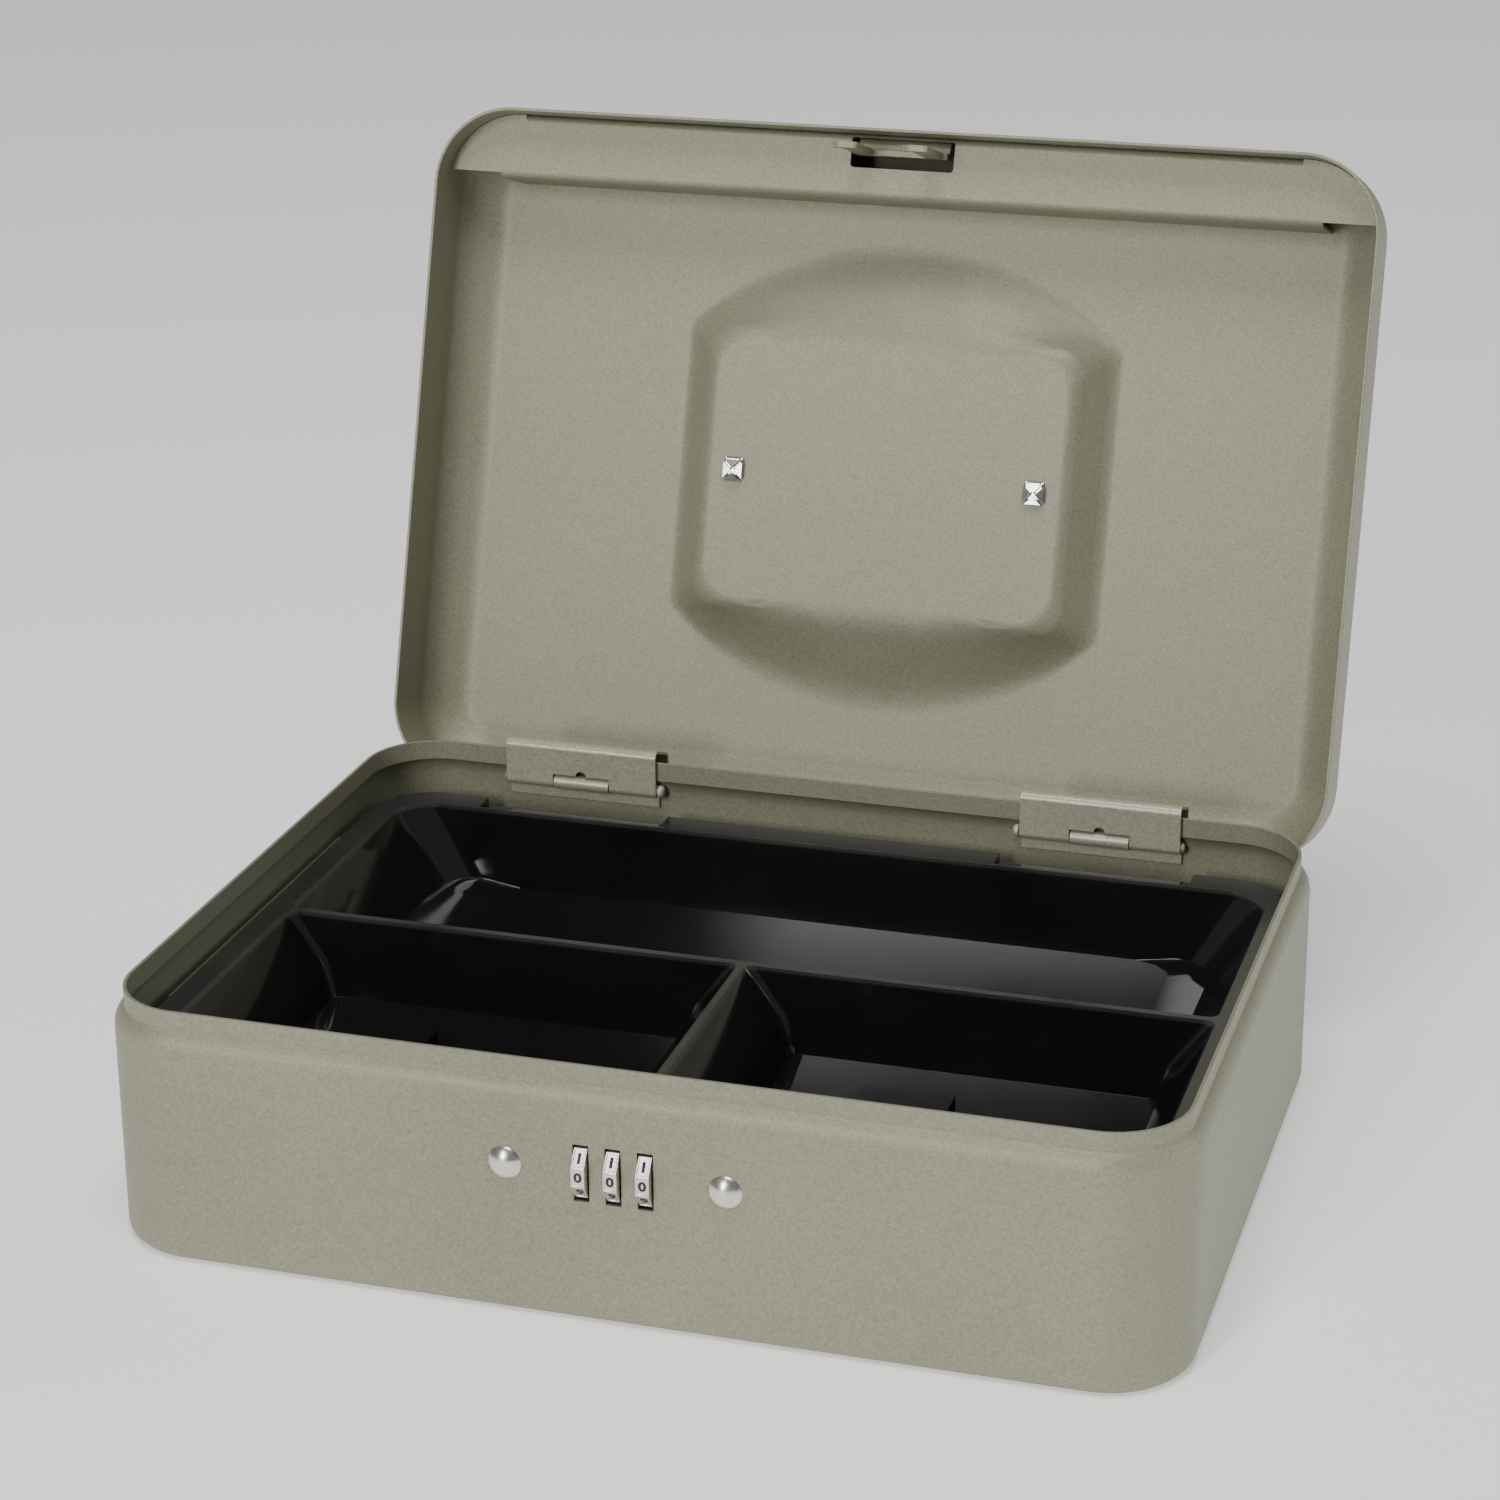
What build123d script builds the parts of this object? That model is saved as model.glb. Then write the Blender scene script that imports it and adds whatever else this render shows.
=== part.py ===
from build123d import *
from math import acos, asin, atan2, cos, degrees, radians, sin, sqrt, tan
import os

os.makedirs("parts", exist_ok=True)

# Combination cash box, in millimetres. X runs to the right, Y to the back and
# Z up, from the middle of the base's underside. The lid's pieces are drawn in
# the closed pose and then turned about the hinge pins to the open pose.

# Base: pressed sheet with a rounded shoulder and a drawn-in neck
base_length = 250.0
base_depth = 178.35
corner_radius = 20.3
sheet = 0.8
bottom_radius = 3.3
rim_height = 61.5
neck_height = 4.5
neck_inset = 2.4
shoulder_height = 4.5

# Lid: straight wall, bevel and flat panel
lid_rim_gap = 0.47
lid_wall = 20.0
bevel_run = 10.0
bevel_rise = 7.0
bend_radius = 5.0
panel_bend_radius = 9.0
bend_steps = 3
rear_trim = 2.4
rear_trim_extra = 22.0
open_angle = 107.9

# Handle recess pressed into the panel
recess_depth = 10.4
recess_half_length = 57.0
recess_half_side = 37.3
recess_half_middle = 57.8
recess_corner = 6.0
recess_floor_side = 48.2
recess_floor_end = 35.4
recess_floor_middle = 36.6
recess_floor_corner = 9.0
roll_share = 0.2
roll_steps = 2

# Hinges
pin_inset = 3.0
pin_above_shoulder = 1.0
pin_radius = 0.9
pin_play = 0.05
pin_head_radius = 1.7
pin_head_length = 1.6
pin_tail_radius = 1.4
pin_tail_length = 0.7
pin_chamfer = 0.6
hinge_end_inset = 55.75
leaf_width = 41.3
base_leaf_sheet = 1.0
base_leaf_drop = 5.0
lid_leaf_sheet = 0.75
leaf_face_height = 11.4
leaf_reach = 9.0
leaf_shoulder_height = 7.2
knuckle_width = 15.1
knuckle_side_gap = 0.2
knuckle_room = 0.45
notch_relief_radius = 1.4
leaf_foot_start = 8.9
leaf_foot_end = 17.2
leaf_bend = 1.5
base_leaf_side_gap = 0.3
moving_gap = 0.3

# Wire handle and its two clips
wire_radius = 2.5
wire_play = 0.05
clip_spread = 81.2
clip_width = 4.0
clip_wall = 1.1
clip_foot = 6.4
clip_foot_height = 0.7
clip_shank = 4.2
clip_rivet = 5.2
clip_rivet_height = 1.3
clip_split = 0.4
handle_height = 4.0
handle_reach = 30.0
handle_overhang = 6.0
handle_bend = 3.4
handle_corner = 11.0
stub_extra = 1.0

# Strip inside the lid's front, and the striker
strip_above_rim = 8.0
strip_width = 16.8
strip_flange = 7.0
strip_flange_end = 21.5
strip_bend = 1.6
strip_slot_length = 27.5
strip_slot_width = 8.0
strip_fit = 0.15
striker_sheet = 1.6
striker_inset = 5.575
striker_left = -12.4
striker_right = 12.0
striker_rise = 3.2
striker_foot = 4.0
striker_bend = 1.2
hook_below_rim = 9.4
hook_width = 4.4
hook_barb = 2.2
hook_barb_height = 1.9
hook_rights = (-7.8, 10.8)

# Dials and lock
rivet_spread = 50.4
rivet_above_dials = 0.1
rivet_head_radius = 4.1
rivet_head_height = 1.9
rivet_radius = 2.0
rivet_tail_radius = 3.2
rivet_tail_height = 1.1
dial_pitch = 7.35
dial_middle = -0.15
dials_below_shoulder = 15.8
dial_sides = 10
dial_radius = 7.44
dial_width = 3.1
dial_stand_out = 2.67
dial_side_gap = 0.25
dial_window_half = 6.85
facet_frame = 0.35
facet_sink = 0.2
spindle_radius = 1.1
spindle_end = 0.9
lock_sheet = 0.8
lock_plate_sheet = 1.0
lock_half_width = 31.0
lock_box_half = 19.5
lock_room = 1.3
dial_room = 0.5
ear_height = 13.6
slide_overlap = 4.5
slide_rim = 0.9
spring_room = 9.5
cam_radius = 3.6
cam_hub_radius = 2.2
cam_sheet = 0.8
cam_gap = 0.35
finger_sheet = 0.8
finger_depth = 1.6
finger_reach = 2.7
gate_play = 0.4
slide_sheet = 1.0
slide_play = 0.4
stud_spread = 45.0
stud_radius = 1.2
stud_head_radius = 2.2
stud_head_height = 0.6
spring_sheet = 0.25
spring_width = 1.6
spring_swing = 3.2
spring_runs = 4
spring_bend = 0.5
detent_sheet = 0.3
detent_bow = 0.6
detent_height = 11.0
detent_foot = 2.0

# Coin tray
tray_above_lock = 0.76
tray_sheet = 1.6
tray_side_gap = 7.0
tray_front_gap = 9.675
tray_back_gap = 7.375
tray_corner = 14.0
pocket_depth = 20.6
flange_side = 3.0
flange_front = 7.5
flange_back = 7.8
divider = 1.8
cross_divider_y = 0.3
centre_divider_x = 1.5
ledge_drop = 11.6
end_slope_high = 38.0
end_slope_low = 20.0
side_draft = 6.0
rear_slope = 34.0
rear_ledge_rise = 1.6
rear_ledge_run = 10.6
pocket_corner = 2.5
rear_corner = 10.0
pad_length = 22.0
pad_width = 24.0
pad_height = 4.0
pad_back = -21.5
pad_offsets = (36.0, 45.6)
hinge_pocket_margin = 4.3
hinge_pocket_sink = 2.4
hinge_pocket_depth = 7.0
tray_rest_gap = 0.3
support_length = 100.0
support_sheet = 1.0
support_leg = 9.0
support_clearance = 0.5

# Sizes that follow from those above
half_length = base_length / 2
half_depth = base_depth / 2
neck_start = rim_height - neck_height
shoulder_start = neck_start - shoulder_height
dial_height = shoulder_start - dials_below_shoulder
rivet_height = dial_height + rivet_above_dials
striker_y = half_depth - striker_inset
strip_flange_length = base_length - 2 * strip_flange_end
shoulder_radius = (shoulder_height ** 2 + neck_inset ** 2) / (2 * neck_inset)
lid_seat = sqrt(shoulder_radius ** 2 - (shoulder_radius - sheet) ** 2)
lid_rim = shoulder_start + lid_seat + lid_rim_gap
lid_top = lid_rim + lid_wall + bevel_rise
bevel_angle = degrees(atan2(bevel_run, bevel_rise))
pivot_y = half_depth - pin_inset
pivot_z = shoulder_start + pin_above_shoulder
bore_radius = pin_radius + pin_play
base_knuckle = bore_radius + base_leaf_sheet
lid_knuckle = bore_radius + lid_leaf_sheet
leaf_middle = half_length - hinge_end_inset
leaf_start = leaf_middle - leaf_width / 2
wall_face = half_depth - sheet
recess_floor = lid_top - recess_depth
handle_z = recess_floor + handle_height
handle_x = clip_spread / 2 + handle_overhang
strip_z = lid_rim + strip_above_rim
strip_back = -(half_depth - sheet) + strip_width
hook_tip = lid_rim - hook_below_rim
hook_lefts = [right - hook_width - hook_barb for right in hook_rights]
dial_y = -(half_depth + dial_stand_out - dial_radius)
dial_places = [dial_middle + step * dial_pitch for step in (-1, 0, 1)]
plate_back = -wall_face + lock_plate_sheet
lock_back = dial_y + dial_radius + lock_room
lock_bottom = dial_height - dial_radius - dial_room - lock_sheet
slide_bottom = hook_tip + hook_barb_height + moving_gap
slide_top = slide_bottom + slide_sheet
slide_travel = finger_sheet + cam_sheet + 2 * cam_gap
slide_front = plate_back + slide_play
slide_back = -striker_y + striker_sheet / 2 + gate_play + slide_rim
slide_half = stud_spread / 2 + slide_overlap
slide_y = (slide_front + slide_back) / 2
channel_floor = hook_tip - moving_gap
# The dial box always reaches up into the slide's channel
box_top = max(dial_height + dial_radius + lock_room + lock_sheet, channel_floor + 0.1)
channel_left = -slide_half - spring_room
channel_right = slide_half + slide_play
channel_back = slide_back + slide_play
lock_top = slide_top + moving_gap + stud_head_height + lock_sheet + 0.1
cam_start = dial_width / 2 + finger_sheet + 2 * cam_gap
tray_under = box_top + tray_above_lock
tray_top = tray_under + tray_sheet
tray_floor = tray_top - pocket_depth
ledge_height = tray_top - ledge_drop
tray_half_length = half_length - tray_side_gap
tray_front = tray_front_gap - half_depth
tray_back = half_depth - tray_back_gap
pocket_half_length = tray_half_length - flange_side
pocket_front = tray_front + flange_front
pocket_back = tray_back - flange_back
left_span = (-pocket_half_length, centre_divider_x - divider / 2)
right_span = (centre_divider_x + divider / 2, pocket_half_length)
pad_places = [span[0] + offset for span, offset in zip((left_span, right_span), pad_offsets)]
hinge_pocket_front = tray_back - hinge_pocket_depth

recess_shift = 0.4 * sheet

hinge_axis = Axis((0, pivot_y, pivot_z), (1, 0, 0))


def opened(piece):
    """Turn a piece of the closed lid to the open pose."""
    return piece.rotate(hinge_axis, -open_angle)


def open_point(y, z):
    """Where a point of the closed lid lies once the lid is open."""
    turn = radians(open_angle)
    back, up = y - pivot_y, z - pivot_z
    return (
        pivot_y + back * cos(turn) + up * sin(turn),
        pivot_z - back * sin(turn) + up * cos(turn),
    )


def dome_mid(radius, height):
    """Middle of a dome's outline: its reach from the axis and its drop."""
    ball = (radius ** 2 + height ** 2) / (2 * height)
    half = asin(radius / ball) / 2
    return ball * sin(half), ball * (1 - cos(half))


def bend_points(centre_in, centre_z, radius, start, stop):
    """Points along a bend, each as its inset from the outline and its height."""
    points = []
    for step in range(bend_steps + 1):
        turn = radians(start + (stop - start) * step / bend_steps)
        points.append((centre_in - radius * cos(turn), centre_z + radius * sin(turn)))
    return points


def ring_form(profile):
    """Solid through one rounded rectangle for each inset and height."""
    with BuildPart() as form:
        for inward, z in profile:
            with BuildSketch(Plane.XY.offset(z)):
                RectangleRounded(
                    base_length - 2 * inward, base_depth - 2 * inward, corner_radius - inward
                )
        loft(ruled=True)
    return form.part


def base_form(inset, overrun):
    """Solid form of the base, inset from its outer faces."""
    bottom = bend_points(bottom_radius, bottom_radius, bottom_radius - inset, -90, 0)
    inner_radius = shoulder_radius - inset
    turn = degrees(acos((shoulder_radius - neck_inset - inset) / inner_radius))
    shoulder = bend_points(shoulder_radius, shoulder_start, inner_radius, 0, turn)
    return ring_form(bottom + shoulder + [(neck_inset + inset, rim_height + overrun)])


def lid_form(inset, overrun):
    """Solid form of the closed lid, inset from its outer faces."""
    lower_centre = lid_rim + lid_wall - bend_radius * tan(radians(bevel_angle / 2))
    lower = bend_points(bend_radius, lower_centre, bend_radius - inset, 0, bevel_angle)
    tangent = panel_bend_radius * tan(radians(45 - bevel_angle / 2))
    upper = bend_points(
        bevel_run + tangent,
        lid_top - panel_bend_radius,
        panel_bend_radius - inset,
        bevel_angle,
        90,
    )
    return ring_form([(inset, lid_rim - overrun)] + lower + upper)


def recess_form(grow, drop):
    """Handle recess: a bowed mouth that rolls over and narrows to a floor."""
    with BuildPart() as form:
        for level in range(2 * roll_steps + 2):
            # The roll-over at the mouth and the one at the foot are curved alike
            end = level // (roll_steps + 1)
            roll = roll_share * (2 * (level - end * (roll_steps + 1)) / roll_steps - 1)
            curved = (roll + roll_share) ** 2 / (4 * roll_share)
            share = end + roll
            depth = curved if end == 0 else 1 + roll - curved
            side = recess_half_length + (recess_floor_side - recess_half_length) * share + grow
            shoulder = recess_half_side + (recess_floor_end - recess_half_side) * share + grow
            middle = recess_half_middle + (recess_floor_middle - recess_half_middle) * share + grow
            corner = recess_corner + (recess_floor_corner - recess_corner) * share + grow
            with BuildSketch(Plane.XY.offset(lid_top - drop - recess_depth * depth)) as ring:
                with BuildLine():
                    Line((-side, shoulder), (-side, -shoulder))
                    ThreePointArc((-side, -shoulder), (0, -middle), (side, -shoulder))
                    Line((side, -shoulder), (side, shoulder))
                    ThreePointArc((side, shoulder), (0, middle), (-side, shoulder))
                make_face()
                fillet(ring.vertices(), corner)
        loft(ruled=True)
    return form.part


# Base shell, with the windows for the dials and the rivet holes
with BuildPart() as base_shell:
    add(base_form(0, 0))
    add(base_form(sheet, 1), mode=Mode.SUBTRACT)
    with BuildSketch(Plane.XZ.offset(half_depth)):
        with Locations(*[(x, dial_height) for x in dial_places]):
            Rectangle(dial_width + 2 * dial_side_gap, 2 * dial_window_half)
        with Locations((-rivet_spread / 2, rivet_height), (rivet_spread / 2, rivet_height)):
            Circle(rivet_radius)
    extrude(amount=-1.5 * sheet, mode=Mode.SUBTRACT)

base_shell.part.label = "base_shell"
export_step(base_shell.part, "parts/base_shell.step")

# Lid shell: outer form less inner form, both with the handle recess
with BuildPart() as lid_shell:
    add(lid_form(0, 0))
    add(recess_form(0, 0), mode=Mode.SUBTRACT)
    add(lid_form(sheet, 1) - recess_form(recess_shift, sheet), mode=Mode.SUBTRACT)
    # The rear rim is cut higher between the corners, to clear the base
    with BuildSketch(Plane.XY.offset(lid_rim)):
        with Locations((0, half_depth)):
            Rectangle(base_length - 2 * corner_radius + rear_trim_extra, 4 * sheet + rear_trim)
    extrude(amount=rear_trim, mode=Mode.SUBTRACT)
    with BuildSketch(Plane.XY.offset(recess_floor)):
        with Locations((-clip_spread / 2, 0), (clip_spread / 2, 0)):
            Rectangle(clip_shank, clip_shank)
    extrude(amount=-2 * sheet, mode=Mode.SUBTRACT)

lid_shell.part = opened(lid_shell.part)
lid_shell.part.label = "lid_shell"
export_step(lid_shell.part, "parts/lid_shell.step")

# Front strip: a bent channel across the lid, flat where it fills the corners
strip_inset = sheet + strip_fit
strip_mid = strip_z + sheet / 2
web_half = half_length - bevel_run - sheet - panel_bend_radius / 2
with BuildPart() as lid_front_strip:
    with BuildSketch(Plane.XY.offset(strip_z)):
        RectangleRounded(
            base_length - 2 * strip_inset, base_depth - 2 * strip_inset, corner_radius - strip_inset
        )
        with Locations((0, strip_back)):
            Rectangle(base_length, 2 * base_depth, align=(Align.CENTER, Align.MIN), mode=Mode.SUBTRACT)
            Rectangle(
                2 * web_half, sheet + strip_bend, align=(Align.CENTER, Align.MAX), mode=Mode.SUBTRACT
            )
        with Locations((0, -wall_face)):
            Rectangle(
                strip_flange_length,
                2 * (sheet + strip_bend),
                mode=Mode.SUBTRACT,
            )
    extrude(amount=sheet)
    with BuildSketch(Plane.YZ.offset(-web_half)):
        with BuildLine() as web_line:
            FilletPolyline(
                (-wall_face + sheet + strip_bend, strip_mid),
                (strip_back - sheet / 2, strip_mid),
                (strip_back - sheet / 2, lid_top - sheet),
                radius=strip_bend,
            )
        trace(line_width=sheet)
    extrude(amount=2 * web_half)
    with BuildSketch(Plane.YZ.offset(-strip_flange_length / 2)):
        with BuildLine() as flange_line:
            FilletPolyline(
                (-wall_face + sheet / 2, strip_mid + strip_flange),
                (-wall_face + sheet / 2, strip_mid),
                (-wall_face + 3 * sheet + strip_bend, strip_mid),
                radius=strip_bend,
            )
        trace(line_width=sheet)
    extrude(amount=strip_flange_length)
    with BuildSketch(Plane.XY.offset(strip_z - sheet)):
        with Locations((0, -striker_y)):
            RectangleRounded(strip_slot_length, strip_slot_width, 1.0)
    extrude(amount=3 * sheet, mode=Mode.SUBTRACT)

lid_front_strip.part = opened(lid_front_strip.part)
lid_front_strip.part.label = "lid_front_strip"
export_step(lid_front_strip.part, "parts/lid_front_strip.step")

# Striker: a bent bracket on the strip's flange, with two barbed hooks
with BuildPart() as lid_striker:
    with BuildSketch(Plane.YZ.offset(striker_left)):
        with BuildLine() as bracket_line:
            foot_y = -wall_face + sheet + striker_sheet / 2
            FilletPolyline(
                (-striker_y, strip_z - sheet),
                (-striker_y, strip_z + striker_rise),
                (foot_y, strip_z + striker_rise),
                (foot_y, strip_z + striker_rise + striker_foot),
                radius=striker_bend,
            )
        trace(line_width=striker_sheet)
    extrude(amount=striker_right - striker_left)
    with BuildSketch(Plane.XZ.offset(striker_y + striker_sheet / 2)) as hooks:
        for right, left in zip(hook_rights, hook_lefts):
            shank = left + hook_barb
            with BuildLine():
                Polyline(
                    (right, strip_z),
                    (right, hook_tip),
                    (shank - 0.2 * hook_barb, hook_tip),
                    (left, hook_tip + 0.5 * hook_barb_height),
                    (left, hook_tip + hook_barb_height),
                    (shank, hook_tip + hook_barb_height),
                    (shank, strip_z),
                    (right, strip_z),
                )
            make_face()
        fillet(hooks.vertices().group_by(Axis.Y)[0], 0.4 * hook_barb)
    extrude(amount=-striker_sheet)

lid_striker.part = opened(lid_striker.part)
lid_striker.part.label = "lid_striker"
export_step(lid_striker.part, "parts/lid_striker.step")

# Lid leaf of the right hinge: a gooseneck over the base's rim
with BuildPart() as hinge_lid_leaf_right:
    face_y = pivot_y - lid_knuckle + lid_leaf_sheet / 2
    inner_wall = wall_face - lid_leaf_sheet / 2
    with BuildSketch(Plane.YZ.offset(leaf_start)):
        with BuildLine() as neck_line:
            FilletPolyline(
                (face_y, pivot_z),
                (face_y, pivot_z + leaf_face_height),
                (pivot_y + leaf_reach, pivot_z + leaf_shoulder_height),
                open_point(inner_wall, lid_rim + leaf_foot_start),
                open_point(inner_wall, lid_rim + leaf_foot_end),
                radius=leaf_bend,
            )
        trace(line_width=lid_leaf_sheet)
    extrude(amount=leaf_width)
    with BuildSketch(Plane.YZ.offset(leaf_start)):
        with Locations((pivot_y, pivot_z)):
            Circle(lid_knuckle)
    extrude(amount=leaf_width)
    with BuildSketch(Plane.XZ.offset(-(pivot_y + lid_knuckle + sheet))):
        notch_top = pivot_z + base_knuckle + knuckle_room
        with Locations((leaf_middle, notch_top)):
            Rectangle(
                knuckle_width + 2 * knuckle_side_gap,
                notch_top - pivot_z + 2 * lid_knuckle,
                align=(Align.CENTER, Align.MAX),
            )
            Circle(notch_relief_radius)
    extrude(amount=3 * lid_knuckle, mode=Mode.SUBTRACT)
    with BuildSketch(Plane.YZ.offset(leaf_start)):
        with Locations((pivot_y, pivot_z)):
            Circle(bore_radius)
    extrude(amount=leaf_width, mode=Mode.SUBTRACT)

hinge_lid_leaf_right.part.label = "hinge_lid_leaf_right"
export_step(hinge_lid_leaf_right.part, "parts/hinge_lid_leaf_right.step")

with BuildPart() as hinge_lid_leaf_left:
    mirror(hinge_lid_leaf_right.part, about=Plane.YZ)

hinge_lid_leaf_left.part.label = "hinge_lid_leaf_left"
export_step(hinge_lid_leaf_left.part, "parts/hinge_lid_leaf_left.step")

# Base leaf of the right hinge: a plate on the rear wall with one knuckle
with BuildPart() as hinge_base_leaf_right:
    leaf_low = pivot_z - base_leaf_drop
    side_top = pivot_z - lid_knuckle - base_leaf_side_gap
    with BuildSketch(Plane.XZ.offset(-wall_face)):
        with Locations((leaf_middle, leaf_low)):
            Rectangle(leaf_width, side_top - leaf_low, align=(Align.CENTER, Align.MIN))
            Rectangle(
                knuckle_width, shoulder_start - leaf_low, align=(Align.CENTER, Align.MIN)
            )
    extrude(amount=base_leaf_sheet)
    with BuildSketch(Plane.YZ.offset(leaf_middle - knuckle_width / 2)):
        with Locations((pivot_y, pivot_z)):
            Circle(base_knuckle)
    extrude(amount=knuckle_width)
    with BuildSketch(Plane.YZ.offset(leaf_start)):
        with Locations((pivot_y, pivot_z)):
            Circle(bore_radius)
    extrude(amount=leaf_width, mode=Mode.SUBTRACT)

hinge_base_leaf_right.part.label = "hinge_base_leaf_right"
export_step(hinge_base_leaf_right.part, "parts/hinge_base_leaf_right.step")

with BuildPart() as hinge_base_leaf_left:
    mirror(hinge_base_leaf_right.part, about=Plane.YZ)

hinge_base_leaf_left.part.label = "hinge_base_leaf_left"
export_step(hinge_base_leaf_left.part, "parts/hinge_base_leaf_left.step")

# Right hinge pin: head towards the middle, peened end outside
with BuildPart() as hinge_pin_right:
    head_face = leaf_start - moving_gap
    tail_face = leaf_start + leaf_width + moving_gap
    with BuildSketch(Plane.XY.offset(pivot_z)):
        with BuildLine():
            Polyline(
                (head_face - pin_head_length, pivot_y),
                (head_face - pin_head_length, pivot_y + pin_head_radius - pin_chamfer),
                (head_face - pin_head_length + pin_chamfer, pivot_y + pin_head_radius),
                (head_face, pivot_y + pin_head_radius),
                (head_face, pivot_y + pin_radius),
                (tail_face, pivot_y + pin_radius),
                (tail_face, pivot_y + pin_tail_radius),
                (tail_face + pin_tail_length, pivot_y + pin_tail_radius - pin_chamfer),
                (tail_face + pin_tail_length, pivot_y),
                (head_face - pin_head_length, pivot_y),
            )
        make_face()
    revolve(axis=hinge_axis)

hinge_pin_right.part.label = "hinge_pin_right"
export_step(hinge_pin_right.part, "parts/hinge_pin_right.step")

with BuildPart() as hinge_pin_left:
    mirror(hinge_pin_right.part, about=Plane.YZ)

hinge_pin_left.part.label = "hinge_pin_left"
export_step(hinge_pin_left.part, "parts/hinge_pin_left.step")

# Right handle clip: an eye on a foot, riveted over inside the lid
with BuildPart() as handle_clip_right:
    clip_x = clip_spread / 2
    eye_radius = wire_radius + wire_play + clip_wall
    with BuildSketch(Plane.YZ.offset(clip_x - clip_width / 2)):
        with Locations((0, handle_z)):
            Circle(eye_radius)
        with Locations((0, recess_floor)):
            Rectangle(clip_foot, clip_foot_height, align=(Align.CENTER, Align.MIN))
            Rectangle(0.7 * clip_foot, handle_height, align=(Align.CENTER, Align.MIN))
    extrude(amount=clip_width)
    with BuildSketch(Plane.XY.offset(recess_floor)):
        with Locations((clip_x, 0)):
            Rectangle(clip_shank, clip_shank)
    extrude(amount=-sheet)
    with BuildSketch(Plane.XY.offset(recess_floor - sheet)):
        with Locations((clip_x, 0)):
            RectangleRounded(clip_rivet, clip_rivet, 0.6 * clip_rivet_height)
    extrude(amount=-clip_rivet_height)
    chamfer(handle_clip_right.edges().group_by(Axis.Z)[0], 0.4 * clip_rivet_height)
    with BuildSketch(Plane.YZ.offset(clip_x - clip_width)):
        with Locations((0, handle_z)):
            Circle(wire_radius + wire_play)
    extrude(amount=2 * clip_width, mode=Mode.SUBTRACT)
    # Splits between the four folded-over legs
    with BuildSketch(Plane.XY.offset(recess_floor - sheet - clip_rivet_height)):
        with Locations((clip_x, 0)):
            Rectangle(2 * clip_rivet, clip_split, rotation=45)
            Rectangle(2 * clip_rivet, clip_split, rotation=-45)
    extrude(amount=0.6 * clip_rivet_height, mode=Mode.SUBTRACT)

with BuildPart() as handle_clip_left:
    mirror(handle_clip_right.part, about=Plane.YZ)

handle_clip_right.part = opened(handle_clip_right.part)
handle_clip_right.part.label = "handle_clip_right"
export_step(handle_clip_right.part, "parts/handle_clip_right.step")
handle_clip_left.part = opened(handle_clip_left.part)
handle_clip_left.part.label = "handle_clip_left"
export_step(handle_clip_left.part, "parts/handle_clip_left.step")

# Handle: one bent wire, drawn flat in the recess, then left hanging
with BuildPart() as handle_bail:
    stub_end = clip_spread / 2 - clip_width / 2 - stub_extra
    with BuildLine() as wire_line:
        FilletPolyline(
            (-stub_end, 0, handle_z),
            (-handle_x, 0, handle_z),
            (-handle_x, handle_reach, handle_z),
            (handle_x, handle_reach, handle_z),
            (handle_x, 0, handle_z),
            (stub_end, 0, handle_z),
            radius=[handle_bend, handle_corner, handle_corner, handle_bend],
        )
    with BuildSketch(Plane.YZ.offset(-stub_end)):
        with Locations((0, handle_z)):
            Circle(wire_radius)
    sweep(path=wire_line.line)

hang_angle = open_angle - 90
handle_bail.part = opened(handle_bail.part.rotate(Axis((0, 0, handle_z), (1, 0, 0)), hang_angle))
handle_bail.part.label = "handle_bail"
export_step(handle_bail.part, "parts/handle_bail.step")


def facet_plane(x, step):
    """Plane on one facet of a dial, seen from outside."""
    turn = radians(360 * step / dial_sides)
    flat = dial_radius * cos(radians(180 / dial_sides))
    return Plane(
        origin=(x, dial_y + flat * cos(turn), dial_height + flat * sin(turn)),
        x_dir=(1, 0, 0),
        z_dir=(0, cos(turn), sin(turn)),
    )


def number_wheel(x):
    """Ten-sided dial with a shallow frame round each number."""
    with BuildPart() as wheel:
        with BuildSketch(Plane.YZ.offset(x - dial_width / 2)):
            with Locations((dial_y, dial_height)):
                RegularPolygon(dial_radius, dial_sides, rotation=180 / dial_sides)
                Circle(spindle_radius + pin_play, mode=Mode.SUBTRACT)
        extrude(amount=dial_width)
        facet = 2 * dial_radius * sin(radians(180 / dial_sides))
        with BuildSketch(*[facet_plane(x, step) for step in range(dial_sides)]):
            Rectangle(dial_width - 2 * facet_frame, facet - 2 * facet_frame)
        extrude(amount=-facet_sink, mode=Mode.SUBTRACT)
    return wheel.part


def cam(x):
    """Hub and gate disc of a dial; its flat lets the slide's finger pass."""
    with BuildPart() as disc:
        with BuildSketch(Plane.YZ.offset(x + dial_width / 2)):
            with Locations((dial_y, dial_height)):
                Circle(cam_hub_radius)
        extrude(amount=cam_start - dial_width / 2)
        with BuildSketch(Plane.YZ.offset(x + cam_start)):
            with Locations((dial_y, dial_height)):
                Circle(cam_radius)
            with Locations((dial_y, dial_height + finger_reach - gate_play)):
                Rectangle(
                    2 * cam_radius,
                    cam_radius,
                    align=(Align.CENTER, Align.MIN),
                    mode=Mode.SUBTRACT,
                )
        extrude(amount=cam_sheet)
        with BuildSketch(Plane.YZ.offset(x + dial_width / 2)):
            with Locations((dial_y, dial_height)):
                Circle(spindle_radius + pin_play)
        extrude(amount=2 * cam_start, mode=Mode.SUBTRACT)
    return disc.part


with BuildPart() as number_wheel_left:
    add(number_wheel(dial_places[0]))

number_wheel_left.part.label = "number_wheel_left"
export_step(number_wheel_left.part, "parts/number_wheel_left.step")

with BuildPart() as number_wheel_middle:
    add(number_wheel(dial_places[1]))

number_wheel_middle.part.label = "number_wheel_middle"
export_step(number_wheel_middle.part, "parts/number_wheel_middle.step")

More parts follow.
